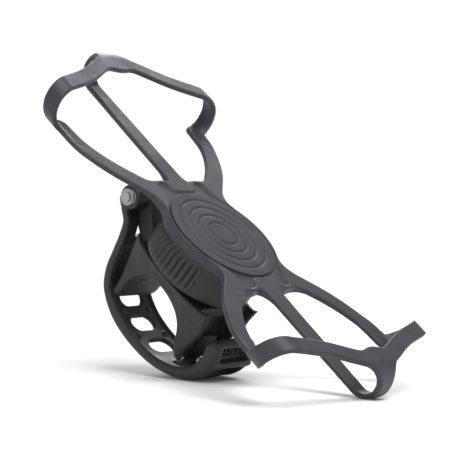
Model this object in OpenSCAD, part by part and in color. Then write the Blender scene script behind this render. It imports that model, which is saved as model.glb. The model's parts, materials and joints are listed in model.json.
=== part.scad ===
// Strap-on phone mount for round handlebars.
// Every sub-part is drawn in the mount's own upright frame: the bar runs along X through the origin,
// Z is the swivel axis and Y points towards the top end of the phone. seat() then leans the whole
// mount back by the tilt angle, so that +Z of the finished part is vertical.

/* [Attitude] */
// Lean of the phone above the horizontal, in degrees
tilt = 40; // [30:0.5:50]

/* [Phone space] */
// Width of the largest phone in its case
phone_w = 75.8; // [70:0.2:80]
// Thickness of the phone in its case
phone_t = 10.4; // [9:0.2:12]
// Distance from the swivel axis to the phone's top end
phone_top = 76.9; // [72:0.1:82]
// Distance from the swivel axis to the phone's bottom end
phone_bottom = 72.3; // [68:0.1:78]
// Height of the phone's back above the bar's axis
phone_z = 36; // [35:0.1:38]

/* [Harness] */
// Thickness of a stretched harness band
band_t = 1.6; // [1.2:0.1:2.4]
// Width of the corner bands
corner_band_w = 5.6; // [4.5:0.1:7]
// Width of the bands over the phone's ends
end_band_w = 5; // [4:0.1:7]
// Thickness of the harness's centre pad
pad_t = 2.9; // [2.5:0.1:3.2]

/* [Turntable] */
// Radius of the ribbed turntable over its smooth rim
turntable_r = 19.5; // [18.5:0.1:21]
// Radius of the shoulder that the turntable runs on
shoulder_r = 3; // [2.5:0.1:3.5]
// Radial running clearance on the shoulder and on the strap's pin
running_gap = 0.05; // [0.02:0.01:0.1]

/* [Saddle] */
// Radius of the saddle's seat for the bar
bar_r = 12.7; // [11.5:0.1:13.5]
// Half width of the saddle's legs along the bar
leg_half_w = 10.2; // [9:0.1:11]
// Half width of the saddle's lip at its widest point
lip_half_w = 16; // [14:0.1:17]
// Height of the saddle's lip above the bar's axis
lip_z = 19; // [18.5:0.1:19.4]

/* [Strap] */
// Width of the strap along the bar
strap_w = 21; // [18:0.5:24]
// Thickness of the strap's rails
strap_t = 3.4; // [3:0.1:3.8]
// Length of each slot across the strap
slot_l = 9.6; // [8:0.2:11]
// Width of each slot along the strap
slot_w = 5.6; // [5:0.1:6]
// Radius of the pin that the strap swings on
pin_r = 1.5; // [1.2:0.1:1.8]

/* [Hidden] */
$fn = 96;

// Heights up the swivel axis
plate_z = lip_z;
plate_t = 1.2;
washer_z = plate_z + plate_t;
washer_t = 0.5;
table_z = washer_z + washer_t;
pad_z = phone_z - 0.6 - pad_t;
table_top = pad_z;
web_t = 3;
bush_flange_t = 0.8;
bush_top = table_z + web_t + bush_flange_t;
wave_t = 0.3;
wave_rise = 0.5;
flat_washer_z = bush_top + wave_rise + wave_t + 0.1;
flat_washer_t = 0.6;
head_z = flat_washer_z + flat_washer_t;
head_t = 2.4;
thread_r = 2;
insert_z = bar_r + 2.4;

// Radii round the swivel axis
core_disc_r = 14.5;
plate_r = 15;
table_wall = 2.4;
rib_depth = 0.8;
// The ribs stop short of the rim's own radius by this much
rib_inset = 0.1;
rib_pitch_angle = 6.5;
// Ribs on each side of the middle of each of the turntable's two ribbed sectors
ribs_each_way = 5;
boss_ring_r = 11.5;
boss_r = 2.6;
screw_r = 1;
screw_head_r = 1.9;
screw_head_t = 0.6;
base_screw_l = 4;
harness_screw_l = 7;

// The strap's centreline, from the eye to the tail, as corners of a smooth curve
eye_y = 29.8;
eye_z = 24.6;
eye_r = 4;
bush_wall = 1.1;
pin_end = 1.6;
strap_path = [[31.9, 22.6], [29.6, 20.2], [26.2, 17.6], [24.3, 13], [22.9, 7], [21.3, 0.8], [17.5, -4.5],
    [9, -8.3], [-1.5, -9.2], [-11.5, -7.8], [-20, -3.9], [-24.8, 1], [-26.6, 6], [-26.2, 10], [-25.2, 13.1]];
// Thickness of the strap's rails at each corner, as a share of strap_t
strap_shares = [0.8, 0.85, 0.85, 0.9, 0.9, 0.9, 0.92, 1.02, 1.03, 1.03, 1.15, 1.45, 1.6, 1.55, 1.25];
path_steps = 5;
slot_places = [15.2, 5.7, -5];
hook_y = -16.5;
hook_t = 1.6;
hook_slot = [-18.2, -14.2];
rail_w = 2.3;
// How far the web lies below the rails, inside, outside and outside at the tail
web_recess = 0.6;
outer_recess = 1.2;
tail_recess = 1.6;
// Where the grooves start and end, in steps along the strap's curve
inner_groove_start = 18;
outer_groove = [21, 43];
tail_groove = [54, 68];
// A channel inside the tail lets it pass the hook as the strap swings
hook_channel_start = 47;
hook_channel_depth = 1.8;
hook_channel_gap = 0.8;
hook_slot_gap = 0.5;
fork_half_w = 5;

function mirror_y(list) = [for (p = list) [-p[0], p[1]]];
function reversed(list) = [for (i = [len(list) - 1:-1:0]) list[i]];

// A smooth curve through a list of points (Catmull-Rom)
function spline_at(a, b, c, d, t) =
    0.5 * ((2 * b) + (c - a) * t + (2 * a - 5 * b + 4 * c - d) * t * t
    + (3 * b - a - 3 * c + d) * t * t * t);
function spline(p, steps) = let (n = len(p)) concat(
    [for (i = [0:n - 2]) for (k = [0:steps - 1])
        spline_at(p[max(i - 1, 0)], p[i], p[i + 1], p[min(i + 2, n - 1)], k / steps)],
    [p[n - 1]]);
function unit(v) = v / norm(v);
function tangent(p, i) = unit(p[min(i + 1, len(p) - 1)] - p[max(i - 1, 0)]);
// A 2D curve moved sideways; a positive distance moves it to its left
function shifted(p, d) = [for (i = [0:len(p) - 1])
    p[i] + d[i] * [-tangent(p, i)[1], tangent(p, i)[0]]];
function part_of(list, from, to) = [for (i = [from:to]) list[i]];
function ribbon(p, left, right) = concat(shifted(p, left), reversed(shifted(p, -right)));

module seat() rotate([tilt, 0, 0]) children();

// A side view drawn as [y, z], extruded along X between two places
module side_extrude(x0, x1)
    translate([x0, 0, 0]) rotate([90, 0, 90]) linear_extrude(x1 - x0) children();

module tube(r_out, r_in, z0, z1)
    translate([0, 0, z0]) difference() {
        cylinder(r = r_out, h = z1 - z0);
        translate([0, 0, -1]) cylinder(r = r_in, h = z1 - z0 + 2);
    }

module ring_of(n, r, start = 0)
    for (i = [0:n - 1]) rotate([0, 0, start + i * 360 / n]) translate([r, 0, 0]) children();

// ---------------------------------------------------------------- saddle

// Side view of the saddle: two ears, hollow flanks and two rounded legs
ear_rear = 18.2;
ear_front = 20.2;
leg_rear = 16.4;
leg_front = 18.2;
leg_tip_r = 1.6;
drop_rear = 3.6;
drop_front = 1.7;
ear_rise = 1.2;
flank_rear = spline([[ear_rear, lip_z + ear_rise], [ear_rear - 0.2, 13.5], [leg_rear + 0.2, 4],
    [leg_rear, 0]], 5);
flank_front = spline([[-ear_front, lip_z + ear_rise], [-ear_front + 0.1, 13.5], [-leg_front - 0.2, 5.5],
    [-leg_front, 0]], 5);
lip_dip = spline([[-ear_front, lip_z + ear_rise], [-14.5, lip_z + 0.1], [0, lip_z], [12.5, lip_z + 0.1],
    [ear_rear, lip_z + ear_rise]], 5);

// The rounded outer corner of a leg that reaches down by drop, then its foot as far as the bore
function leg_tip(y, side, drop) = concat(
    [for (a = [0:-15:-90])
        [side * (y - leg_tip_r + leg_tip_r * cos(a)), leg_tip_r - drop + leg_tip_r * sin(a)]],
    [[side * (bar_r - 2), -drop], [side * (bar_r - 2), 0]]);

module saddle_side() polygon(concat(lip_dip, flank_rear, leg_tip(leg_rear, 1, drop_rear),
    reversed(leg_tip(leg_front, -1, drop_front)), reversed(flank_front)));

// End view: straight legs that flare out to the lip
flare = spline([[leg_half_w, -4], [leg_half_w, 5], [leg_half_w + 1, 11], [leg_half_w + 3.4, 16],
    [lip_half_w, lip_z + 0.2], [lip_half_w, lip_z + ear_rise + 1]], 5);

// Plan view: the lip bows out round the turntable and ends in four ears
ear_half_w = 12.8;
bow = spline([[ear_half_w, -ear_front], [lip_half_w - 0.8, -11], [lip_half_w, -1], [lip_half_w - 0.8, 9],
    [ear_half_w, ear_rear]], 5);

module bar_bore(r) rotate([0, 90, 0]) cylinder(r = r, h = 100, center = true);

module saddle_blank() difference() {
    saddle_outside();
    bar_bore(bar_r);
}

module saddle_outside() intersection() {
    side_extrude(-lip_half_w, lip_half_w) saddle_side();
    rotate([90, 0, 0]) linear_extrude(60, center = true)
        polygon(concat(flare, reversed(mirror_y(flare))));
    translate([0, 0, -10]) linear_extrude(40) polygon(concat(bow, reversed(mirror_y(bow))));
}

// The rigid skeleton inside the sleeve: a disc, an arch over the bar and the tongue for the strap's pin
core_half_w = 7;
core_skin = 1.2;
rim_gap = 0.6;
core_arch_r = bar_r + core_skin;
core_leg_t = 1.4;
core_foot_z = 2.5;
tongue_half_w = fork_half_w - 0.3;

module core_arch() difference() {
    union() {
        rotate([0, 90, 0]) cylinder(r = core_arch_r + core_leg_t, h = 2 * core_half_w, center = true);
        translate([-core_half_w, -12, 12]) cube([2 * core_half_w, 24, lip_z - 12.4]);
        translate([-core_half_w, hook_y + hook_t, core_foot_z]) cube([2 * core_half_w, 4, 5]);
    }
    bar_bore(core_arch_r);
    translate([-30, -30, core_foot_z - 30]) cube([60, 60, 30]);
}

module tongue() side_extrude(-tongue_half_w, tongue_half_w) difference() {
    union() {
        polygon([[12, 12.2], [15.6, 11.8], [31.9, 21], [27.4, 27.5], [16.6, 17.9], [12, 17.9]]);
        translate([eye_y, eye_z]) circle(eye_r - 0.1);
    }
    translate([eye_y, eye_z]) circle(pin_r);
}

module core_solid() {
    core_arch();
    translate([0, 0, bar_r + 2.3]) cylinder(r = core_disc_r, h = lip_z - bar_r - 2.3);
    tongue();
}

module saddle_core() color("dimgray") seat() difference() {
    core_solid();
    translate([0, 0, insert_z]) cylinder(r = 3, h = 20);
    ring_of(4, boss_ring_r, 45) flush_screw(plate_z + plate_t, base_screw_l, false);
    strap_hook_blank();
    rivet_pair(3);
}

module saddle_sleeve() color("#2b2b2d") seat() difference() {
    saddle_blank();
    core_solid();
    strap_hook_blank();
    // clearance for the plate's rim and the dust ring
    translate([0, 0, lip_z - 0.01]) cylinder(r = turntable_r + rim_gap, h = 10);
}

// ---------------------------------------------------------------- swivel bearing

// A screw whose flat head ends flush at z; slotted is true for the screw and false for its hole
module flush_screw(z, length, slotted = true) difference() {
    union() {
        translate([0, 0, z - length]) cylinder(r = screw_r, h = length);
        translate([0, 0, z - screw_head_t]) cylinder(r = screw_head_r, h = screw_head_t);
    }
    if (slotted) for (a = [0, 90]) rotate([0, 0, a]) translate([-1.2, -0.25, z - 0.4]) cube([2.4, 0.5, 1]);
}

module base_plate() color("silver") seat() difference() {
    tube(plate_r, 3.2, plate_z, plate_z + plate_t);
    ring_of(4, boss_ring_r, 45) flush_screw(plate_z + plate_t, base_screw_l, false);
}

module base_screws() color("lightgray") seat()
    ring_of(4, boss_ring_r, 45) flush_screw(plate_z + plate_t, base_screw_l);

module pivot_insert() color("goldenrod") seat() tube(3, thread_r, insert_z, lip_z);

module thrust_washer() color("ivory") seat() tube(9.5, 3.2, washer_z, washer_z + washer_t);

module dust_ring() color("#151515") seat() tube(plate_r + 1, plate_r, lip_z, table_z - 0.2);

module pivot_screw() color("gray") seat() difference() {
    union() {
        translate([0, 0, insert_z + 0.3]) cylinder(r = thread_r, h = lip_z - insert_z);
        translate([0, 0, lip_z]) cylinder(r = shoulder_r, h = head_z - lip_z);
        translate([0, 0, head_z]) cylinder(r = 5.4, h = head_t);
    }
    translate([0, 0, head_z + 1]) cylinder(r = 2.3, h = 5, $fn = 6);
}

module flat_washer() color("silver") seat()
    tube(6, shoulder_r, flat_washer_z, flat_washer_z + flat_washer_t);

// A spring ring with three waves
wave_points = 48;
module wave_washer() color("darkgray") seat() {
    section = [[shoulder_r + 0.3, 0], [5.8, 0], [5.8, wave_t], [shoulder_r + 0.3, wave_t]];
    rings = [for (i = [0:wave_points - 1])
        let (a = i * 360 / wave_points, z = bush_top + 0.05 + wave_rise / 2 * (1 + cos(3 * a)))
        [for (p = section) [p[0] * cos(a), p[0] * sin(a), z + p[1]]]];
    polyhedron([for (r = rings) for (p = r) p],
        [for (i = [0:wave_points - 1]) for (k = [0:3])
            let (j = (i + 1) % wave_points, m = (k + 1) % 4)
            [4 * i + k, 4 * i + m, 4 * j + m, 4 * j + k]]);
}

// ---------------------------------------------------------------- turntable

module grip_ribs(z0, z1)
    for (side = [0, 180], i = [-ribs_each_way:ribs_each_way])
        rotate([0, 0, side + i * rib_pitch_angle])
            translate([turntable_r - rib_depth - rib_inset, 0, z0]) cylinder(r = rib_depth, h = z1 - z0);

module turntable() color("#303033") seat() difference() {
    union() {
        translate([0, 0, table_z]) cylinder(r = turntable_r - rib_depth, h = table_top - table_z);
        translate([0, 0, table_top - 1.2]) cylinder(r = turntable_r, h = 1.2);
        grip_ribs(table_z + 0.6, table_top - 1);
    }
    // well for the pivot screw, and the bore that holds the bush
    translate([0, 0, table_z + web_t]) difference() {
        cylinder(r = turntable_r - rib_depth - table_wall, h = 30);
        ring_of(4, boss_ring_r, 45) cylinder(r = boss_r, h = 30);
    }
    translate([0, 0, table_z - 1]) cylinder(r = shoulder_r + bush_wall, h = 10);
    ring_of(4, boss_ring_r, 45) translate([0, 0, table_top - 5]) cylinder(r = screw_r, h = 10);
}

module turntable_bush() color("#b08d57") seat() difference() {
    union() {
        translate([0, 0, table_z]) cylinder(r = shoulder_r + bush_wall, h = web_t + 0.01);
        translate([0, 0, table_z + web_t]) cylinder(r = 6.2, h = bush_flange_t);
    }
    translate([0, 0, table_z - 1]) cylinder(r = shoulder_r + running_gap, h = 10);
}

// ---------------------------------------------------------------- harness

edge_r = phone_t / 2;
mid_z = phone_z + edge_r;
band_mid_r = edge_r + band_t / 2;
side_x = phone_w / 2 - edge_r;
wrap_y = [50.5, 57.2];
front_inset = 4.6;
arc_steps = 8;

// Half turn round a phone edge whose centre is at distance c from the middle: [outward, up]
function edge_arc(c) = [for (i = [0:arc_steps]) let (a = -90 + i * 180 / arc_steps)
    [c + band_mid_r * cos(a), mid_z + band_mid_r * sin(a)]];

// Centreline of a corner band: pad, back of the phone, round its side, and over its face to the middle
function corner_path(end) = concat(
    spline([[8, 16, pad_z + 1.6], [16.5, 24, pad_z + 1.7], [26, 32.5, phone_z - band_t / 2],
        [side_x - 1.8, wrap_y[0] - 9, phone_z - band_t / 2],
        [side_x - 0.2, wrap_y[0] - 1, phone_z - band_t / 2]], 3),
    [for (i = [0:arc_steps]) let (q = edge_arc(side_x)[i])
        [q[0], wrap_y[0] + (wrap_y[1] - wrap_y[0]) * i / arc_steps, q[1]]],
    spline([[side_x - 2, wrap_y[1] + 0.5, phone_z + phone_t + band_t / 2],
        [side_x * 0.5, (wrap_y[1] + end - front_inset) / 2 - 0.5, phone_z + phone_t + band_t / 2],
        [7, end - front_inset - 2.4, phone_z + phone_t + band_t / 2],
        [-1, end - front_inset + 0.2, phone_z + phone_t + band_t / 2]], 3));

// Centreline of an end band: pad, back of the phone and round its end
function end_path(end) = concat(
    [[0, 18, pad_z + 1.6], [0, 26, pad_z + 1.7], [0, 36, phone_z - band_t / 2],
        [0, (36 + end - edge_r) / 2, phone_z - band_t / 2]],
    [for (q = edge_arc(end - edge_r)) [0, q[0], q[1]]],
    [[0, end - edge_r - 1.5, phone_z + phone_t + band_t / 2]]);

// A flat band swept along a path. side is the band's width direction before it's squared to the path.
function band_ring(p, i, w, t, side) =
    let (d = tangent(p, i), n = unit(cross(d, side)), s = unit(cross(n, d)), b = min(t, w) * 0.28)
    [for (q = [[-w / 2 + b, -t / 2], [w / 2 - b, -t / 2], [w / 2, -t / 2 + b], [w / 2, t / 2 - b],
        [w / 2 - b, t / 2], [-w / 2 + b, t / 2], [-w / 2, t / 2 - b], [-w / 2, -t / 2 + b]])
        p[i] + q[0] * s + q[1] * n];

module band(p, widths, t, sides) {
    n = len(p);
    rings = [for (i = [0:n - 1]) band_ring(p, i, widths[i], t, sides[i])];
    polyhedron([for (r = rings) for (q = r) q], concat(
        [[for (k = [0:7]) k]],
        [for (i = [0:n - 2], k = [0:7]) let (m = (k + 1) % 8) [8 * i + m, 8 * i + k, 8 * (i + 1) + m]],
        [for (i = [0:n - 2], k = [0:7]) let (m = (k + 1) % 8) [8 * (i + 1) + m, 8 * i + k, 8 * (i + 1) + k]],
        [[for (k = [7:-1:0]) 8 * (n - 1) + k]]));
}

// The width direction stays in the phone's surface: square to the path and to the surface's normal
function surface_normal(q, cx, cy) = unit(
    [cx == undef ? 0 : max(abs(q[0]) - cx, 0), cy == undef ? 0 : max(abs(q[1]) - cy, 0), q[2] - mid_z]);

module corner_band(end) {
    p = corner_path(end);
    n = len(p);
    band(p, [for (i = [0:n - 1]) i < 6 ? 9 - i * 0.5 : corner_band_w], band_t,
        [for (i = [0:n - 1]) cross(surface_normal(p[i], side_x, undef), tangent(p, i))]);
}

module end_band(end) {
    p = end_path(end);
    n = len(p);
    band(p, [for (i = [0:n - 1]) i == 0 ? 9 : i == 1 ? 8 : i < 5 ? end_band_w + 1
        : end_band_w + 3.5 * max(0, (i - 8) / (n - 9))], band_t,
        [for (i = [0:n - 1]) cross(surface_normal(p[i], undef, end - edge_r), tangent(p, i))]);
}

module pad_outline() hull() {
    circle(turntable_r + 1);
    for (x = [-1, 1], y = [-1, 1]) translate([x * 8.6, y * 21.5]) circle(3.4, $fn = 32);
}

plate_r_top = 14.5;
plate_recess = 1.6;
groove_w = 1;
groove_depth = 0.3;

module harness() color("#47494d") seat() difference() {
    union() {
        for (e = [[0, phone_top], [1, phone_bottom]]) mirror([0, e[0], 0]) {
            end_band(e[1]);
            for (x = [0, 1]) mirror([x, 0, 0]) corner_band(e[1]);
        }
        translate([0, 0, pad_z]) linear_extrude(pad_t) pad_outline();
    }
    translate([0, 0, pad_z + pad_t - plate_recess]) cylinder(r = plate_r_top, h = 5);
    ring_of(4, boss_ring_r, 45) translate([0, 0, pad_z - 1]) cylinder(r = screw_r, h = 5);
}

module harness_plate() color("silver") seat() difference() {
    translate([0, 0, pad_z + pad_t - plate_recess]) cylinder(r = plate_r_top, h = plate_recess);
    ring_of(4, boss_ring_r, 45) flush_screw(pad_z + pad_t, harness_screw_l, false);
}

module harness_screws() color("lightgray") seat()
    ring_of(4, boss_ring_r, 45) flush_screw(pad_z + pad_t, harness_screw_l);

module phone_pad() color("#3a3b3f") seat() difference() {
    translate([0, 0, pad_z + pad_t]) cylinder(r = turntable_r - 0.5, h = phone_z - pad_z - pad_t);
    for (r = [5:3.5:16]) tube(r + groove_w / 2, r - groove_w / 2, phone_z - groove_depth, phone_z + 1);
}

// ---------------------------------------------------------------- strap

strap_curve = spline(strap_path, path_steps);
strap_half_t = strap_t / 2 * spline(strap_shares, path_steps);
last = len(strap_curve) - 1;

// The point a little past the end of a curve
function past(p) = p[last] + 2 * tangent(p, last);

// A groove along the curve from one place to another. side is 1 outside and -1 inside.
module groove(from, to, side, depth, half_w = strap_w / 2 - rail_w) {
    floor_line = shifted(strap_curve, [for (h = strap_half_t) side * (h - depth)]);
    outside_line = shifted(strap_curve, [for (h = strap_half_t) side * (h + 1)]);
    side_extrude(-half_w, half_w) polygon(concat(
        part_of(floor_line, from, to),
        to == last ? [past(floor_line), past(outside_line)] : [],
        reversed(part_of(outside_line, from, to))));
}

// The ledge that a finger pulls on, under a field of small grip ribs
module pull_tab() {
    side_extrude(-strap_w / 2 + rail_w, strap_w / 2 - rail_w)
        polygon([[-24.5, 4.6], [-27.5, 5.4], [-29.9, 6.9], [-30.4, 8], [-29.6, 8.6], [-24.5, 7.4]]);
    for (x = [-6:2:6]) side_extrude(x - 0.4, x + 0.4)
        polygon([[-25.8, 9.2], [-27.4, 9.4], [-27.3, 11.6], [-26.7, 12], [-25.5, 12]]);
}

// A slot through the strap at the point of the curve that is nearest to y, below the bar
function nearest(y) = let (c = [for (i = [0:len(strap_curve) - 1])
    if (strap_curve[i][1] < 2) [abs(strap_curve[i][0] - y), i]]) min([for (q = c) q[0]]);
function slot_index(y) = [for (i = [0:len(strap_curve) - 1])
    if (strap_curve[i][1] < 2 && abs(abs(strap_curve[i][0] - y) - nearest(y)) < 1e-6) i][0];

module slot_at(i, l, w) translate([0, strap_curve[i][0], strap_curve[i][1]])
    rotate([atan2(tangent(strap_curve, i)[1], tangent(strap_curve, i)[0]), 0, 0])
        for (x = [-1, 1]) {
            translate([x * (l - w) / 2, 0, -4]) cylinder(r = w / 2, h = 8);
            translate([min(0, x * (l - w) / 2), -w / 2, -4]) cube([(l - w) / 2, w, 8]);
        }

module strap() color("#38383b") seat() difference() {
    union() {
        side_extrude(-strap_w / 2, strap_w / 2) polygon(ribbon(strap_curve, strap_half_t, strap_half_t));
        side_extrude(-strap_w / 2, strap_w / 2) translate([eye_y, eye_z]) circle(eye_r);
        pull_tab();
    }
    groove(inner_groove_start, last, -1, web_recess);
    groove(hook_channel_start, last, -1, hook_channel_depth, hook_half_w + hook_channel_gap);
    groove(outer_groove[0], outer_groove[1], 1, outer_recess);
    difference() {
        groove(tail_groove[0], tail_groove[1], 1, tail_recess);
        pull_tab();
    }
    for (y = slot_places) slot_at(slot_index(y), slot_l, slot_w);
    side_extrude(-strap_w, strap_w) translate([eye_y, eye_z]) circle(pin_r + bush_wall);
    side_extrude(-fork_half_w, fork_half_w) polygon([[40, 32], [20, 32], [20, 15], [26.6, 11.9], [40, 17]]);
    translate([-hook_half_w - hook_slot_gap, hook_slot[0], -14])
        cube([2 * (hook_half_w + hook_slot_gap), hook_slot[1] - hook_slot[0], 14]);
}

module strap_bushes() color("ivory") seat()
    for (x = [-1, 1]) side_extrude(x > 0 ? fork_half_w : -strap_w / 2, x > 0 ? strap_w / 2 : -fork_half_w)
        translate([eye_y, eye_z]) difference() {
            circle(pin_r + bush_wall);
            circle(pin_r + running_gap);
        }

module anchor_pin() color("silver") seat()
    translate([-strap_w / 2 - pin_end, eye_y, eye_z]) rotate([0, 90, 0])
        cylinder(r = pin_r, h = strap_w + 2 * pin_end);

module pin_clips() color("gray") seat()
    for (x = [-1, 1]) translate([x * (strap_w / 2 + 0.7) - 0.3, eye_y, eye_z]) rotate([0, 90, 0])
        difference() {
            cylinder(r = pin_r + 1.2, h = 0.6);
            translate([0, 0, -1]) cylinder(r = pin_r, h = 3);
        }

// ---------------------------------------------------------------- hook

hook_half_w = 4;
hook_foot_z = -7;
hook_top_z = 7;
rivet_r = 0.8;
module strap_hook_blank() translate([-hook_half_w, hook_y, hook_foot_z])
    cube([2 * hook_half_w, hook_t, hook_top_z - hook_foot_z]);
module rivet_pair(length) for (x = [-2, 2]) translate([x, hook_y, 4.6]) rotate([-90, 0, 0])
    cylinder(r = rivet_r, h = length);
module strap_hook() color("silver") seat() difference() {
    strap_hook_blank();
    rivet_pair(10);
}
module hook_rivets() color("gray") seat() rivet_pair(3);

saddle_sleeve();
saddle_core();
base_plate();
base_screws();
pivot_insert();
thrust_washer();
dust_ring();
pivot_screw();
flat_washer();
wave_washer();
anchor_pin();
pin_clips();
strap_hook();
hook_rivets();
turntable();
turntable_bush();
harness();
harness_plate();
harness_screws();
phone_pad();
strap();
strap_bushes();
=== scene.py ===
import json
import math

import bpy
import numpy as np
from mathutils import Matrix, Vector


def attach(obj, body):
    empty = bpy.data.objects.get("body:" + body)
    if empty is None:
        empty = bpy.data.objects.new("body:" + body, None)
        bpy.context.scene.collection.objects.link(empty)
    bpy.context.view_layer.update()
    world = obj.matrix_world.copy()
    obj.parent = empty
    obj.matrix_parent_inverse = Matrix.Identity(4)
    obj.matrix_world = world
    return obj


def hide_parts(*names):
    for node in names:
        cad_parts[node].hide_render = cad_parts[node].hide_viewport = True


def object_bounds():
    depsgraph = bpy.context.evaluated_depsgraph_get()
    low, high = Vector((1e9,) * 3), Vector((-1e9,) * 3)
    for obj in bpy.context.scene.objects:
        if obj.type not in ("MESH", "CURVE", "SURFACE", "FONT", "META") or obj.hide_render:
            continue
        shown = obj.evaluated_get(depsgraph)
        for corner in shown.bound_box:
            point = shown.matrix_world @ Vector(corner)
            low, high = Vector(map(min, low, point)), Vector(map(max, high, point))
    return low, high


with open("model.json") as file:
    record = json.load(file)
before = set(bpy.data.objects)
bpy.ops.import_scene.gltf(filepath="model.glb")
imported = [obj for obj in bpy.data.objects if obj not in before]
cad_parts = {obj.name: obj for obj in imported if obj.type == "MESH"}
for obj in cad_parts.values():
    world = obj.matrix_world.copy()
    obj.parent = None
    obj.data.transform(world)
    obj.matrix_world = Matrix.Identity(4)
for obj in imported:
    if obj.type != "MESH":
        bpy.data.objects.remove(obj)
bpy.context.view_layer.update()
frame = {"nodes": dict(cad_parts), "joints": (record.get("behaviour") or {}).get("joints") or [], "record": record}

# ---------------------------------------------------------------- the mount's own frame
# Shapes are drawn in millimetres in the mount's upright frame: x along the bar, z up the swivel
# axis, y towards the phone's top end, with the bar's axis through the origin.

swivel = next(j for j in frame["joints"] if j["name"] == "harness_swivel")
UP = np.array(swivel["axis"], float)
UP /= np.linalg.norm(UP)
ALONG = np.array([1.0, 0.0, 0.0])
FORE = np.cross(UP, ALONG)
AXES = np.stack([ALONG, FORE, UP])          # rows: the upright frame's axes in the row frame


def to_row(points):
    return np.asarray(points, float) @ AXES / 1000


def local_box(node):
    """A CAD node's lowest and highest corner in the upright frame, in millimetres."""
    mesh = frame["nodes"][node].data
    co = np.empty(len(mesh.vertices) * 3)
    mesh.vertices.foreach_get("co", co)
    q = co.reshape(-1, 3) @ AXES.T * 1000
    return q.min(axis=0), q.max(axis=0)


# ---------------------------------------------------------------- fields
# A field gives a signed distance in millimetres, negative inside, for an array of points.

def smin(a, b, k):
    h = np.clip(0.5 + 0.5 * (b - a) / k, 0, 1)
    return b + (a - b) * h - k * h * (1 - h)


def smax(a, b, k):
    return -smin(-a, -b, k)


def step01(x, a, b):
    t = np.clip((x - a) / (b - a), 0, 1)
    return t * t * (3 - 2 * t)


def spline(points, steps):
    """A smooth curve through the points (Catmull-Rom)."""
    p = [np.asarray(q, float) for q in points]
    n = len(p)
    out = []
    for i in range(n - 1):
        a, b, c, d = p[max(i - 1, 0)], p[i], p[i + 1], p[min(i + 2, n - 1)]
        for k in range(steps):
            t = k / steps
            out.append(0.5 * (2 * b + (c - a) * t + (2 * a - 5 * b + 4 * c - d) * t * t
                              + (3 * b - a - 3 * c + d) * t ** 3))
    out.append(p[-1])
    return np.array(out)


def polygon_field(points, poly):
    """Signed distance from 2D points to a closed polygon."""
    poly = np.asarray(poly, float)
    best = np.full(len(points), 1e9)
    inside = np.zeros(len(points), bool)
    for a, b in zip(poly, np.roll(poly, -1, axis=0)):
        e, w = b - a, points - a
        t = np.clip((w @ e) / max(e @ e, 1e-12), 0, 1)
        best = np.minimum(best, ((w - t[:, None] * e) ** 2).sum(axis=1))
        crosses = (a[1] > points[:, 1]) != (b[1] > points[:, 1])
        if abs(e[1]) > 1e-12:
            inside ^= crosses & (points[:, 0] < a[0] + (points[:, 1] - a[1]) / e[1] * e[0])
    d = np.sqrt(best)
    return np.where(inside, -d, d)


def nearest_on(points, path):
    """Places along a polyline, in steps between its points, of what is nearest to each point."""
    best = np.full(len(points), 1e18)
    place = np.zeros(len(points))
    for i in range(len(path) - 1):
        e, w = path[i + 1] - path[i], points - path[i]
        t = np.clip((w @ e) / max(e @ e, 1e-12), 0, 1)
        d = ((w - t[:, None] * e) ** 2).sum(axis=1)
        closer = d < best
        best[closer] = d[closer]
        place[closer] = i + t[closer]
    return place


def along(values, place):
    """Values given at a path's points, read at places between them."""
    values = np.asarray(values, float)
    if values.ndim == 1:
        return np.interp(place, np.arange(len(values)), values)
    return np.stack([along(values[:, k], place) for k in range(values.shape[1])], axis=1)


# ---------------------------------------------------------------- a mesh of a field

CORNERS = np.array([[i, j, k] for i in (0, 1) for j in (0, 1) for k in (0, 1)])
EDGES = [(a, b) for a in range(8) for b in range(8) if a < b and abs(CORNERS[a] - CORNERS[b]).sum() == 1]
BLOCK = 10                                  # cells along a side of a block
BATCH = 150                                 # blocks that are read at once
SETTLE_ROUNDS, EVEN_ROUNDS = 5, 3


def gradient(field, p, eps):
    g = np.empty_like(p)
    for k in range(3):
        d = np.zeros(3)
        d[k] = eps
        g[:, k] = (field(p + d) - field(p - d)) / (2 * eps)
    return g


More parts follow.
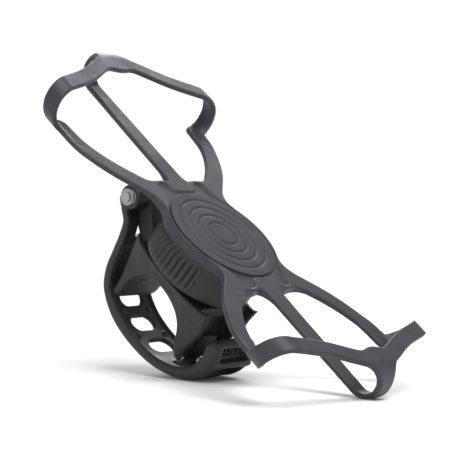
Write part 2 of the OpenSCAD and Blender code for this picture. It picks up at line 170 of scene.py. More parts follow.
def net(field, low, high, pitch):
    """Vertices and quads of the field's zero surface, by surface nets on a grid of the given pitch."""
    low, high = np.asarray(low, float) - 1.5 * pitch, np.asarray(high, float) + 1.5 * pitch
    blocks = np.maximum(np.ceil((high - low) / pitch / BLOCK).astype(int), 1)
    shape = blocks * BLOCK + 1
    idx = np.stack(np.meshgrid(*[np.arange(b) for b in blocks], indexing="ij"), axis=-1).reshape(-1, 3)
    centre = low + (idx + 0.5) * BLOCK * pitch
    at_centre = field(centre)
    # blocks whose centre is further off than this hold no surface, so one value fills them
    reach = BLOCK * pitch * math.sqrt(3) / 2 * 1.25 + pitch
    grid = np.empty(shape, np.float64)
    offsets = np.stack(np.meshgrid(*[np.arange(BLOCK + 1)] * 3, indexing="ij"), axis=-1).reshape(-1, 3)
    for b, d in zip(idx[np.abs(at_centre) > reach], at_centre[np.abs(at_centre) > reach]):
        o = b * BLOCK
        grid[o[0]:o[0] + BLOCK + 1, o[1]:o[1] + BLOCK + 1, o[2]:o[2] + BLOCK + 1] = d
    near = idx[np.abs(at_centre) <= reach]
    for start in range(0, len(near), BATCH):
        some = near[start:start + BATCH]
        cells = (some[:, None, :] * BLOCK + offsets[None]).reshape(-1, 3)
        grid[cells[:, 0], cells[:, 1], cells[:, 2]] = field(low + cells * pitch)
    inside = grid < 0
    count = sum(inside[i:shape[0] - 1 + i, j:shape[1] - 1 + j, k:shape[2] - 1 + k].astype(np.int8)
                for i, j, k in CORNERS)
    cell = np.argwhere((count > 0) & (count < 8))
    values = np.stack([grid[tuple((cell + c).T)] for c in CORNERS], axis=1)
    total, number = np.zeros((len(cell), 3)), np.zeros(len(cell))
    for a, b in EDGES:
        va, vb = values[:, a], values[:, b]
        hit = (va < 0) != (vb < 0)
        t = np.where(hit, va / np.where(hit, va - vb, 1), 0)
        total += np.where(hit[:, None], CORNERS[a] + t[:, None] * (CORNERS[b] - CORNERS[a]), 0)
        number += hit
    verts = low + (cell + total / number[:, None]) * pitch
    ids = np.full(shape - 1, -1)
    ids[tuple(cell.T)] = np.arange(len(cell))
    quads = []
    for k in range(3):
        u, v = (k + 1) % 3, (k + 2) % 3
        here = [slice(0, n) for n in shape]
        there = [slice(0, n) for n in shape]
        here[k], there[k] = slice(0, shape[k] - 1), slice(1, shape[k])
        change = np.argwhere(inside[tuple(here)] != inside[tuple(there)])
        change = change[(change[:, u] > 0) & (change[:, v] > 0)
                        & (change[:, u] < shape[u] - 1) & (change[:, v] < shape[v] - 1)]
        corner = []
        for du, dv in ((-1, -1), (0, -1), (0, 0), (-1, 0)):
            c = change.copy()
            c[:, u] += du
            c[:, v] += dv
            corner.append(ids[tuple(c.T)])
        q = np.stack(corner, axis=1)
        flip = ~inside[tuple(change.T)]
        q[flip] = q[flip][:, ::-1]
        quads.append(q)
    quads = np.concatenate(quads)
    # settle: even out the vertices along the surface, then put them back on it
    ends = np.concatenate([quads[:, [i, (i + 1) % 4]] for i in range(4)])
    weight = np.zeros(len(verts))
    np.add.at(weight, ends.ravel(), 1)
    for round_no in range(SETTLE_ROUNDS):
        g = gradient(field, verts, pitch * 0.12)
        size = np.maximum((g ** 2).sum(axis=1), 0.04)
        f = field(verts)
        verts = verts - np.clip(f / size, -pitch, pitch)[:, None] * g
        if round_no < EVEN_ROUNDS:
            mean = np.zeros_like(verts)
            np.add.at(mean, ends[:, 0], verts[ends[:, 1]])
            np.add.at(mean, ends[:, 1], verts[ends[:, 0]])
            n = g / np.sqrt(size)[:, None]
            d = mean / weight[:, None] - verts
            d -= (d * n).sum(axis=1)[:, None] * n
            verts = verts + 0.5 * d
    return verts, quads


def make_mesh(name, verts, faces, smooth=True, normals=None):
    mesh = bpy.data.meshes.new(name)
    mesh.from_pydata(to_row(verts).tolist(), [], [list(map(int, f)) for f in faces])
    mesh.update()
    if smooth:
        mesh.shade_smooth()
    if normals is not None:
        rows = normals @ AXES
        rows /= np.linalg.norm(rows, axis=1)[:, None]
        mesh.normals_split_custom_set_from_vertices(rows.tolist())
    obj = bpy.data.objects.new(name, mesh)
    bpy.context.scene.collection.objects.link(obj)
    return obj


NORMAL_STEP = 0.06


def moulded(name, field, low, high, pitch):
    """A piece whose surface is a field's zero surface, shaded with the field's own normals."""
    verts, quads = net(field, low, high, pitch)
    return make_mesh(name, verts, quads, normals=gradient(field, verts, NORMAL_STEP))


# ---------------------------------------------------------------- materials

def rubber(name, colour, variation, roughness, grain_mm=0.25, grain=0.1, sheen=0.0):
    """A moulded elastomer or plastic: mottled colour, uneven sheen and a fine spark-eroded grain."""
    mat = bpy.data.materials.new(name)
    mat.use_nodes = True
    nodes, links = mat.node_tree.nodes, mat.node_tree.links
    shader = nodes["Principled BSDF"]
    shader.inputs["Specular IOR Level"].default_value = 0.42
    if sheen:
        shader.inputs["Sheen Weight"].default_value = sheen
        shader.inputs["Sheen Roughness"].default_value = 0.45
    where = nodes.new("ShaderNodeTexCoord")

    def noise(scale, detail, rough=0.55):
        n = nodes.new("ShaderNodeTexNoise")
        n.inputs["Scale"].default_value = scale
        n.inputs["Detail"].default_value = detail
        n.inputs["Roughness"].default_value = rough
        links.new(where.outputs["Object"], n.inputs["Vector"])
        return n.outputs["Fac"]

    def spread(source, low, high, a=0.3, b=0.7):
        m = nodes.new("ShaderNodeMapRange")
        m.inputs["From Min"].default_value = a
        m.inputs["From Max"].default_value = b
        m.inputs["To Min"].default_value = low
        m.inputs["To Max"].default_value = high
        links.new(source, m.inputs["Value"])
        return m.outputs["Result"]

    def mix(fac, a, b):
        m = nodes.new("ShaderNodeMix")
        m.data_type = "RGBA"
        links.new(fac, m.inputs["Factor"])
        for socket, value in ((m.inputs["A"], a), (m.inputs["B"], b)):
            if isinstance(value, tuple):
                socket.default_value = (*value, 1)
            else:
                links.new(value, socket)
        return m.outputs["Result"]

    dark = tuple(c * (1 - variation) for c in colour)
    light = tuple(min(c * (1 + variation) + 0.004, 1) for c in colour)
    base = mix(spread(noise(scale=90, detail=5), 0, 1), dark, light)
    # faint pale dust in patches
    dusty = tuple(min(c * 1.9 + 0.02, 1) for c in colour)
    dust = mix(spread(noise(scale=420, detail=3), 0, 0.14, 0.6, 0.8), base, dusty)
    links.new(dust, shader.inputs["Base Color"])
    rough = spread(noise(scale=160, detail=6), roughness - 0.07, roughness + 0.08)
    links.new(rough, shader.inputs["Roughness"])
    bump = nodes.new("ShaderNodeBump")
    bump.inputs["Strength"].default_value = grain
    bump.inputs["Distance"].default_value = 0.0002
    links.new(noise(1000 / grain_mm * 0.5, detail=3, rough=0.6), bump.inputs["Height"])
    wave = nodes.new("ShaderNodeBump")
    wave.inputs["Strength"].default_value = 0.25
    wave.inputs["Distance"].default_value = 0.0003
    links.new(noise(scale=220, detail=2), wave.inputs["Height"])
    links.new(bump.outputs["Normal"], wave.inputs["Normal"])
    links.new(wave.outputs["Normal"], shader.inputs["Normal"])
    return mat


def metal(name, colour, roughness, scratch=0.08, brushed=(1, 1, 1)):
    """Plated or turned metal: fine directional marks and an uneven polish."""
    mat = bpy.data.materials.new(name)
    mat.use_nodes = True
    nodes, links = mat.node_tree.nodes, mat.node_tree.links
    shader = nodes["Principled BSDF"]
    shader.inputs["Metallic"].default_value = 1
    where = nodes.new("ShaderNodeTexCoord")
    stretch = nodes.new("ShaderNodeMapping")
    stretch.inputs["Scale"].default_value = brushed
    links.new(where.outputs["Object"], stretch.inputs["Vector"])
    fine = nodes.new("ShaderNodeTexNoise")
    fine.inputs["Scale"].default_value = 2500
    fine.inputs["Detail"].default_value = 4
    links.new(stretch.outputs["Vector"], fine.inputs["Vector"])
    broad = nodes.new("ShaderNodeTexNoise")
    broad.inputs["Scale"].default_value = 260
    broad.inputs["Detail"].default_value = 5
    links.new(where.outputs["Object"], broad.inputs["Vector"])
    tone = nodes.new("ShaderNodeMix")
    tone.data_type = "RGBA"
    tone.inputs["A"].default_value = (*[c * 0.8 for c in colour], 1)
    tone.inputs["B"].default_value = (*colour, 1)
    links.new(broad.outputs["Fac"], tone.inputs["Factor"])
    links.new(tone.outputs["Result"], shader.inputs["Base Color"])
    rough = nodes.new("ShaderNodeMapRange")
    rough.inputs["To Min"].default_value = roughness - 0.08
    rough.inputs["To Max"].default_value = roughness + 0.1
    links.new(fine.outputs["Fac"], rough.inputs["Value"])
    links.new(rough.outputs["Result"], shader.inputs["Roughness"])
    bump = nodes.new("ShaderNodeBump")
    bump.inputs["Strength"].default_value = scratch
    bump.inputs["Distance"].default_value = 0.00005
    links.new(fine.outputs["Fac"], bump.inputs["Height"])
    links.new(bump.outputs["Normal"], shader.inputs["Normal"])
    return mat


MATERIALS = {
    "harness_silicone": rubber("harness_silicone", (0.02, 0.024, 0.0305), variation=0.14, roughness=0.5,
                               grain_mm=0.8, grain=0.04, sheen=0.04),
    "saddle_rubber": rubber("saddle_rubber", (0.013, 0.013, 0.0135), variation=0.16, roughness=0.56,
                            grain=0.2),
    "strap_rubber": rubber("strap_rubber", (0.015, 0.015, 0.0155), variation=0.16, roughness=0.5,
                           grain=0.12),
    "pad_rubber": rubber("pad_rubber", (0.02, 0.022, 0.026), variation=0.15, roughness=0.62, grain=0.2),
    "seal_rubber": rubber("seal_rubber", (0.014, 0.014, 0.014), variation=0.1, roughness=0.6),
    "turntable_plastic": rubber("turntable_plastic", (0.014, 0.014, 0.015), variation=0.12,
                                roughness=0.46, grain_mm=0.18, grain=0.25),
    "nylon": rubber("nylon", (0.016, 0.016, 0.017), variation=0.18, roughness=0.5, grain_mm=0.4,
                    grain=0.3),
    "acetal": rubber("acetal", (0.74, 0.73, 0.68), variation=0.03, roughness=0.38, grain_mm=0.3,
                     grain=0.05),
    "steel": metal("steel", (0.4, 0.4, 0.41), roughness=0.36),
    "spring_steel": metal("spring_steel", (0.34, 0.34, 0.36), roughness=0.36),
    "aluminium": metal("aluminium", (0.72, 0.72, 0.74), roughness=0.38, brushed=(1, 6, 1)),
    "bronze": metal("bronze", (0.6, 0.44, 0.25), roughness=0.46),
    "brass": metal("brass", (0.74, 0.56, 0.26), roughness=0.3),
}


def finish(obj, slot):
    obj.data.materials.clear()
    obj.data.materials.append(MATERIALS[slot])


for part in frame["record"]["subparts"]:
    node = frame["nodes"][part["node"]]
    for place in node.material_slots:
        place.material = MATERIALS[part["material_slot"]]

# ---------------------------------------------------------------- harness

BAND_T = 1.6
harness_low, harness_high = local_box("harness")
pad_low, pad_high = local_box("phone_pad")
PHONE_Z = pad_high[2]
TOP_END = harness_high[1] - BAND_T
BOTTOM_END = -harness_low[1] - BAND_T
SIDE = harness_high[0] - BAND_T
PHONE_T = harness_high[2] - BAND_T - PHONE_Z
EDGE_R = PHONE_T / 2
MID_Z = PHONE_Z + EDGE_R
PAD_Z = harness_low[2]
PAD_TOP = pad_low[2]
PAD_R = (pad_high[0] - pad_low[0]) / 2
WRAP_BACK, WRAP_FRONT = 50.5, 57.2
FRONT_INSET = 4.6
FACE_Z = PHONE_Z + PHONE_T + BAND_T / 2
BACK_Z = PHONE_Z - BAND_T / 2
# Where a corner band runs behind the phone, as (x, y) from the pad outwards
CORNER_BACK = [(7, 13), (15, 21), (25, 31)]
END_BAND_FROM = 12
# The centre pad: a disc, and four shoulders that the bands start from
PAD_RIM = 1.4
SHOULDER_FROM, SHOULDER_TO = np.array([8.6, 6.0]), np.array([8.6, 21.0])
SHOULDER_R = 3.6
SHOULDER_BLEND, CORNER_BLEND, PAD_BLEND = 4, 5.0, 6.0
BAND_REACH = 2.6                            # off the centreline's surface, where a band's mask ends
THICKEN = (-1.5, 7.5)                       # from the pad's edge, where the bands get thicker
RECESS_EDGE = (-0.9, -0.3)


def half_turn(c, n=16):
    r = EDGE_R + BAND_T / 2
    return [(c + r * math.cos(a), MID_Z + r * math.sin(a))
            for a in np.linspace(-math.pi / 2, math.pi / 2, n)]


def corner_path(end):
    """Centreline of a corner band from the pad, behind the phone, round its side and over its face."""
    side = SIDE - EDGE_R
    turn = half_turn(side)
    behind = [*CORNER_BACK, (side - 1.6, WRAP_BACK - 9.5), (side, WRAP_BACK)]
    back = spline([(x, y, BACK_Z) for x, y in behind], 6)[:-1]
    wrap = [(x, WRAP_BACK + (WRAP_FRONT - WRAP_BACK) * i / (len(turn) - 1), z)
            for i, (x, z) in enumerate(turn)]
    node = end - FRONT_INSET
    over = [(side, WRAP_FRONT), (side * 0.62, WRAP_FRONT + (node - WRAP_FRONT) * 0.3),
            (side * 0.27, WRAP_FRONT + (node - WRAP_FRONT) * 0.72), (0, node)]
    face = spline([(x, y, FACE_Z) for x, y in over], 7)[1:]
    return np.array([*back, *wrap, *face])


def end_path(end):
    """Centreline of an end band from the pad and round the phone's end to its face."""
    c = end - EDGE_R
    back = [(0, y, BACK_Z) for y in np.linspace(END_BAND_FROM, c, 8)[:-1]]
    turn = [(0, y, z) for y, z in half_turn(c)]
    return np.array([*back, *turn, (0, c - 1.2, FACE_Z)])


def slab(p):
    """Distance outside the phone's place, whose edges are full rounds."""
    centre_y = (TOP_END - BOTTOM_END) / 2
    half_y = (TOP_END + BOTTOM_END) / 2 - EDGE_R
    q = np.stack([np.maximum(np.abs(p[:, 0]) - (SIDE - EDGE_R), 0),
                  np.maximum(np.abs(p[:, 1] - centre_y) - half_y, 0), p[:, 2] - MID_Z], axis=1)
    return np.linalg.norm(q, axis=1) - EDGE_R


def surface_normals(path):
    g = gradient(slab, path, 0.01)
    return g / np.linalg.norm(g, axis=1)[:, None]


# Widths of the bands at places from the pad (0) to the band's far end (1)
CORNER_WIDTHS = ((0, 0.25, 0.45, 1), (7.5, 6.0, 5.6, 5.6))
END_PLACES = (0, 0.35, 0.75, 1)
TOP_END_WIDTHS = (END_PLACES, (7.5, 5.4, 4.9, 7.4))
BOTTOM_END_WIDTHS = (END_PLACES, (7.5, 5.4, 4.9, 5.6))


def end_bands(end, end_widths, sign):
    """The corner band and the end band of one end as (path, normals, widths), both drawn towards +y."""
    flip = np.array([1, sign, 1])
    tables = []
    for path, widths in ((corner_path(end), CORNER_WIDTHS), (end_path(end), end_widths)):
        normals = surface_normals(path * flip) * flip
        tables.append((path, normals, np.interp(np.linspace(0, 1, len(path)), *widths)))
    return tables


BANDS = {1: end_bands(TOP_END, TOP_END_WIDTHS, 1), -1: end_bands(BOTTOM_END, BOTTOM_END_WIDTHS, -1)}


def band_mask(p, table):
    """Distance from a band's edge along the phone's surface, negative on the band."""
    path, normals, widths = table
    place = nearest_on(p, path)
    q, n = along(path, place), along(normals, place)
    n /= np.linalg.norm(n, axis=1)[:, None]
    w = p - q
    out = (w * n).sum(axis=1)
    flat = np.sqrt(np.maximum((w ** 2).sum(axis=1) - out ** 2, 0)) - along(widths, place) / 2
    return np.maximum(flat, np.abs(out) - BAND_REACH)


def pad_mask(p):
    """Distance in x and y from the edge of the centre pad, negative on the pad."""
    q = np.abs(p[:, :2])
    disc = np.linalg.norm(q, axis=1) - (PAD_R + PAD_RIM)
    e, w = SHOULDER_TO - SHOULDER_FROM, q - SHOULDER_FROM
    t = np.clip((w @ e) / (e @ e), 0, 1)
    arm = np.linalg.norm(w - t[:, None] * e, axis=1) - SHOULDER_R
    return smin(disc, arm, SHOULDER_BLEND)


def harness_field(p):
    near_side = p.copy()
    near_side[:, 0] = np.abs(p[:, 0])
    far_side = near_side * [-1, 1, 1]
    mask = np.full(len(p), 1e3)
    for sign, (corner, end) in BANDS.items():
        here = p[:, 1] * sign > -1e-9
        if not here.any():
            continue
        a, b = near_side[here] * [1, sign, 1], far_side[here] * [1, sign, 1]
        m = smin(band_mask(a, corner), band_mask(b, corner), CORNER_BLEND)
        mask[here] = smin(m, band_mask(a, end), PAD_BLEND)
    pad = pad_mask(p)
    mask = np.where(p[:, 2] > MID_Z, mask, smin(mask, pad, PAD_BLEND))
    d = slab(p)
    # behind the phone the bands thicken into the pad, whose face is recessed for the soft pad
    back = 1 - step01(p[:, 2], PHONE_Z - 0.5, PHONE_Z + 1)
    thick = BAND_T + (PHONE_Z - PAD_Z - BAND_T) * back * (1 - step01(pad, *THICKEN))
    sink = (PHONE_Z - PAD_TOP) * back * (1 - step01(pad, *RECESS_EDGE))
    shell = smax(d - thick, sink - d, 0.25)
    return smax(mask, shell, 0.5)


# Distance between the points of the grid that the moulded pieces are drawn on
PITCH = 0.42 * 1.0
harness = moulded("harness_moulding", harness_field, harness_low, harness_high, PITCH)
finish(harness, "harness_silicone")
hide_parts("harness")
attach(harness, "turntable")

# ---------------------------------------------------------------- saddle

sleeve_low, sleeve_high = local_box("saddle_sleeve")
BAR_R = 12.7
LIP_Z = local_box("base_plate")[0][2]
LEG_HALF_W = 10.2
LIP_HALF_W = sleeve_high[0]
EAR_REAR, EAR_FRONT = sleeve_high[1], -sleeve_low[1]
LEG_REAR, LEG_FRONT = 16.4, 18.2

# The saddle's side view as (y, z), from the lip down the rear leg, past the bar and up the front leg
rear = spline([(EAR_REAR - 0.2, LIP_Z + 1.5), (EAR_REAR - 0.5, 13.5), (LEG_REAR + 0.3, 4),
               (LEG_REAR, -0.8)], 6)
fore = spline([(-EAR_FRONT + 0.5, LIP_Z + 1.3), (-EAR_FRONT + 0.5, 16.7), (-EAR_FRONT + 0.2, 14.2),
               (-19.9, 11.6), (-19.1, 8.1), (-LEG_FRONT, 4.5), (-LEG_FRONT + 0.1, 1.7),
               (-LEG_FRONT, -0.4)], 4)
lip = spline([(-EAR_FRONT + 0.5, LIP_Z + 1.3), (-15.2, LIP_Z - 0.2), (0, LIP_Z - 0.3), (13.2, LIP_Z - 0.2),
              (EAR_REAR - 0.2, LIP_Z + 1.5)], 6)
foot_rear = [(LEG_REAR, -0.8), (LEG_REAR, -2.0), (LEG_REAR - 0.6, -3.1), (LEG_REAR - 1.7, -3.7),
             (LEG_REAR - 3.1, -3.5), (BAR_R - 1, -2.4), (BAR_R - 3, 0)]
foot_fore = [(-BAR_R + 3, 1.4), (-13.4, 1.0), (-14.8, -0.2), (-16.0, -1.2), (-17.2, -1.5), (-18.0, -1.1),
             (-LEG_FRONT, -0.4)]
SADDLE_SIDE = np.array([*lip[:-1], *rear[:-1], *foot_rear, *foot_fore, *fore[::-1][1:-1]])


# The lip's half width along y, and how the near and far faces flare up to it
BOW_Y = [-EAR_FRONT, -16, -11, -5, 0, 4, 9, 14, EAR_REAR]
BOW_HALF_W = [12.7, 14.0, LIP_HALF_W - 0.9, LIP_HALF_W - 0.15, LIP_HALF_W, LIP_HALF_W - 0.1,
              LIP_HALF_W - 0.9, 14.2, 12.9]
FLARE_FROM, FLARE_MAX, FLARE_POWER = 1.5, 1.08, 2.1
FLARE_SLOPE = 0.86                          # makes the flared faces' field a distance again
LIP_ROUND, LEG_ROUND = 1.3, 1.5             # the legs' edges are rounder by LEG_ROUND than the lip's
BORE_ROUND = 2.4
# The hollows in the front and the rear: (heights, y of the hollow's floor)
FRONT_HOLLOW = ([-4, 2.5, 7.5, 9, 12, 13.5, 15, 20],
                [-16.3, -16.1, -15.8, -14.2, -13.6, -14.2, -15.6, -15.6])
REAR_HOLLOW = ([-4, 4, 8, 13, 20], [15.6, 15.6, 15.7, 15.9, 15.9])
FLANK_T = 2.3
BOSS_HALF_W, BOSS_TOP, BOSS_FRONT = 4.9, 7.9, 17.3
SEAT_R = 20.1


def saddle_half_width(y, z):
    """The near and far faces are hollow: they flare from the legs out to a bowed lip."""
    bow = np.interp(y, BOW_Y, BOW_HALF_W)
    rise = np.clip((z - FLARE_FROM) / (LIP_Z - FLARE_FROM), 0, FLARE_MAX)
    return LEG_HALF_W + (bow - LEG_HALF_W) * rise ** FLARE_POWER


def saddle_field(p):
    y, z = p[:, 1], p[:, 2]
    x = np.abs(p[:, 0])
    side = polygon_field(p[:, 1:], SADDLE_SIDE)
    half = saddle_half_width(y, z)
    face = (x - half) * FLARE_SLOPE
    soft = LIP_ROUND + LEG_ROUND * (1 - step01(z, 1, 9))
    body = smax(side - 0.15 * (soft - LIP_ROUND), face, soft)
    bore = BAR_R - np.linalg.norm(p[:, 1:], axis=1)
    body = smax(body, bore, BORE_ROUND)
    # the front and the rear are hollow between the near and the far face
    inset = x - (half - FLANK_T)
    front_pocket = smax(inset, y - np.interp(z, *FRONT_HOLLOW), 1.2)
    rear_pocket = smax(inset, np.interp(z, *REAR_HOLLOW) - y, 1.2)
    # a boss stands out of the front hollow round the hook
    boss = smax(smax(x - BOSS_HALF_W, z - BOSS_TOP, 1.2), -BOSS_FRONT - y, 0.8)
    front_pocket = smax(front_pocket, -boss, 1.0)
    body = smax(body, -front_pocket, 0.9)
    body = smax(body, -rear_pocket, 0.9)
    # the seat of the turntable
    seat = np.maximum(np.linalg.norm(p[:, :2], axis=1) - SEAT_R, LIP_Z - z)
    return smax(body, -seat, 0.5)


sleeve = moulded("saddle_skin", saddle_field, sleeve_low, sleeve_high, PITCH)
finish(sleeve, "saddle_rubber")
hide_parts("saddle_sleeve")
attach(sleeve, "saddle")

# ---------------------------------------------------------------- strap

strap_low, strap_high = local_box("strap")
STRAP_HALF_W = strap_high[0]
STRAP_T = 3.4
RAIL_W, RAIL_MORE = 2.3, 1.0                # the rails are wider by RAIL_MORE at the tail
EDGE_ROUND, EDGE_MORE = 2.0, 1.2            # and so are the rounds of the edges, by EDGE_MORE
EYE = np.array([29.8, 24.6])
# The strap's centreline as (y, z) from its root to its tail, and its thickness there over STRAP_T
STRAP_PATH = [(31.9, 22.6), (29.6, 20.2), (26.2, 17.6), (24.3, 13), (22.9, 7), (21.3, 0.8), (17.5, -4.5),
              (9, -8.3), (-1.5, -9.2), (-11.5, -7.8), (-20, -3.9), (-24.8, 1), (-26.6, 6), (-26.1, 10),
              (-24.6, 13.4)]
STRAP_SHARES = [0.8, 0.85, 0.85, 0.9, 0.9, 0.9, 0.92, 1.02, 1.03, 1.03, 1.17, 1.5, 1.75, 1.8, 1.7]
STEPS = 8
strap_curve = spline(STRAP_PATH, STEPS)
strap_half_t = spline([(h, 0) for h in STRAP_SHARES], STEPS)[:, 0] * STRAP_T / 2
strap_dir = np.gradient(strap_curve, axis=0)
strap_dir /= np.linalg.norm(strap_dir, axis=1)[:, None]
strap_out = np.stack([-strap_dir[:, 1], strap_dir[:, 0]], axis=1)
strap_len = np.concatenate([[0], np.cumsum(np.linalg.norm(np.diff(strap_curve, axis=0), axis=1))])
TAIL_PLACE = len(strap_curve) - 1


def length_at(y):
    """Length along the strap at the place below the bar that is nearest to y."""
    low = np.where(strap_curve[:, 1] < 2)[0]
    i = low[np.argmin(np.abs(strap_curve[low, 0] - y))]
    return strap_len[i]


SLOT_HALF_L, SLOT_R = 4.9, 2.8
NUB_X, NUB_R = 6.2, 0.75
SLOTS = [length_at(y) for y in (15.2, 5.7, -5)]
NUBS = [(SLOTS[0] + SLOTS[1]) / 2, (SLOTS[1] + SLOTS[2]) / 2]
# Places along the strap, counted in steps of the curve
TAIL = (9.2 * STEPS, 11.5 * STEPS)
CLEAR_FROM = 10 * STEPS
TAIL_END_FROM = TAIL_PLACE - 12
END_PAST, END_ROUND = 0.9, 3.6              # the tail ends END_PAST beyond the curve's last point
WEB_FROM = 3.6 * STEPS
SOLE_FROM, SOLE_TO = 4.2 * STEPS, 8.6 * STEPS
SCOOP_FROM, SCOOP_TO = 10.8 * STEPS, 13.5 * STEPS
CHANNEL_FROM = 9.4 * STEPS
WEB_RECESS, SOLE_RECESS, SCOOP_RECESS, CHANNEL = 0.6, 1.2, 2.5, 1.8
CHANNEL_HALF_W = 5.0
SWEEP_R = 54.4                              # round the pin, what the swinging tail has to clear
# Side views as (y, z): the finger ledge, the ribs on the tail, and the room for the tongue at the root
LEDGE = np.array([(-24.5, 4.6), (-27.5, 5.4), (-29.9, 6.9), (-30.4, 8), (-29.6, 8.6), (-24.5, 7.4)])
RIB_SIDE = np.array([(-25.8, 9.2), (-27.4, 9.4), (-27.3, 11.6), (-26.7, 12), (-25.5, 12)])
LEDGE_INSET = 1.6
RIB_SPAN, RIB_HALF_T = 6.4, 0.42
FORK = np.array([(40, 32), (20, 32), (20, 15), (26.6, 11.9), (40, 17)])
FORK_HALF_W = 5.0
EYE_R, PIN_ROOM = 4.0, 2.6
# The hook's hole through the tail: the middle in y, half its flat sides along x and y, and its corners
HOOK_Y, HOOK_HALF_X, HOOK_HALF_Y, HOOK_CORNER = -16.2, 3.3, 0.8, 1.2


def strap_field(p):
    place = nearest_on(p[:, 1:], strap_curve)
    q, n = along(strap_curve, place), along(strap_out, place)
    out = ((p[:, 1:] - q) * n).sum(axis=1)
    over = (p[:, 1:] - strap_curve[-1]) @ strap_dir[-1]
    x = np.abs(p[:, 0])
    h = along(strap_half_t, place)
    s = along(strap_len, place)
    tail = step01(place, *TAIL)
    body = smax(np.abs(out) - h, x - STRAP_HALF_W, EDGE_ROUND + EDGE_MORE * tail)
    body = np.where(place > TAIL_END_FROM, smax(body, over - END_PAST, END_ROUND), body)
    short = (strap_curve[0] - p[:, 1:]) @ strap_dir[0]
    body = np.where(place < STEPS, smax(body, short, 0.8), body)
    # the tail's end clears the saddle's legs as the strap swings
    from_eye = np.linalg.norm(p[:, 1:] - EYE, axis=1)
    body = np.where(place > CLEAR_FROM, smax(body, SWEEP_R - from_eye, 1.0), body)
    # the web is set back between the rails, inside and outside
    rail = RAIL_W + RAIL_MORE * tail
    inner = smax(x - (STRAP_HALF_W - rail), out + (h - WEB_RECESS), 0.8)
    inner = smax(inner, WEB_FROM - place, 0.5)
    body = smax(body, -inner, 1.4)
    channel = smax(x - CHANNEL_HALF_W, out + (h - CHANNEL - 0.3 * tail), 0.6)
    channel = smax(channel, CHANNEL_FROM - place, 0.5)
    body = smax(body, -channel, 0.5)
    sole = smax(x - (STRAP_HALF_W - rail), (h - SOLE_RECESS) - out, 0.8)
    sole = smax(sole, np.maximum(SOLE_FROM - place, place - SOLE_TO) * 0.8, 0.8)
    body = smax(body, -sole, 0.9)
    scoop = smax(x - (STRAP_HALF_W - rail), (h - SCOOP_RECESS) - out, 1.0)
    scoop = smax(scoop, np.maximum(SCOOP_FROM - place, place - SCOOP_TO) * 0.7, 1.0)
    body = smax(body, -scoop, 0.9)
    ledge = smax(polygon_field(p[:, 1:], LEDGE) - 0.2, x - (STRAP_HALF_W - LEDGE_INSET), 1.0)
    body = smin(body, ledge, 0.8)
    ribs = smax(polygon_field(p[:, 1:], RIB_SIDE), np.abs((x + 1) % 2 - 1) - RIB_HALF_T, 0.3)
    ribs = smax(ribs, x - RIB_SPAN, 0.3)
    body = np.minimum(body, ribs)
    # slots and the nubs between them
    for s0 in SLOTS:
        slot = np.hypot(np.maximum(x - (SLOT_HALF_L - SLOT_R), 0), s - s0) - SLOT_R
        body = smax(body, -slot, 0.9)
    for s0 in NUBS:
        nub = np.sqrt((x - NUB_X) ** 2 + (s - s0) ** 2 + ((out + h - WEB_RECESS) * 1.6) ** 2) - NUB_R
        body = smin(body, nub, 0.6)
    eye = smax(from_eye - EYE_R, x - STRAP_HALF_W, 1.0)
    body = smin(body, eye, 1.0)
    # room for the tongue, the bushes and the hook
    fork = smax(polygon_field(p[:, 1:], FORK), x - FORK_HALF_W, 0.4)
    body = smax(body, -fork, 0.5)
    body = smax(body, PIN_ROOM - from_eye, 0.3)
    beside = np.maximum(x - HOOK_HALF_X, 0)
    before = np.maximum(np.abs(p[:, 1] - HOOK_Y) - HOOK_HALF_Y, 0)
    hook = np.maximum(np.hypot(beside, before) - HOOK_CORNER, p[:, 2])
    return smax(body, -hook, 0.5)


STRAP_MARGIN = 0.3
strap = moulded("strap_moulding", strap_field, strap_low - STRAP_MARGIN, strap_high + STRAP_MARGIN, PITCH)
finish(strap, "strap_rubber")
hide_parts("strap")
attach(strap, "strap")

# ---------------------------------------------------------------- turntable

table_low, table_high = local_box("turntable")
TABLE_R = table_high[0]
TABLE_BORE, TABLE_WALL, TABLE_FLOOR = 4.1, 3.2, 3
RIM_H = 1.25
RIB_DEPTH = 0.8
RIB_PITCH, RIB_SECTOR = 6.5, 36             # degrees: from rib to rib, and to either side of the bar's axis


def lathe(outline, turns, swell=None):
    """A turned piece from a closed outline of (radius, height).

    An outline that starts and ends on the axis makes a disc. swell(angle, j, r) gives the radius all
    round at the outline's point j.
    """
    poles = outline[0][0] == 0
    rows = outline[1:-1] if poles else outline
    angle = np.arange(turns) * 2 * math.pi / turns
    verts, faces = [], []
    for j, (r, z) in enumerate(rows):
        r = np.full(turns, r) if swell is None else swell(angle, j, r)
        verts += [(a * math.cos(t), a * math.sin(t), z) for a, t in zip(r, angle)]
    for j in range(len(rows) - (1 if poles else 0)):
        m = (j + 1) % len(rows)
        for i in range(turns):
            k = (i + 1) % turns
            faces.append((j * turns + i, j * turns + k, m * turns + k, m * turns + i))
    if poles:
        verts += [(0, 0, outline[0][1]), (0, 0, outline[-1][1])]
        for i in range(turns):
            k = (i + 1) % turns
            faces.append((len(verts) - 2, k, i))
            faces.append((len(verts) - 1, (len(rows) - 1) * turns + i, (len(rows) - 1) * turns + k))
    return np.array(verts), faces


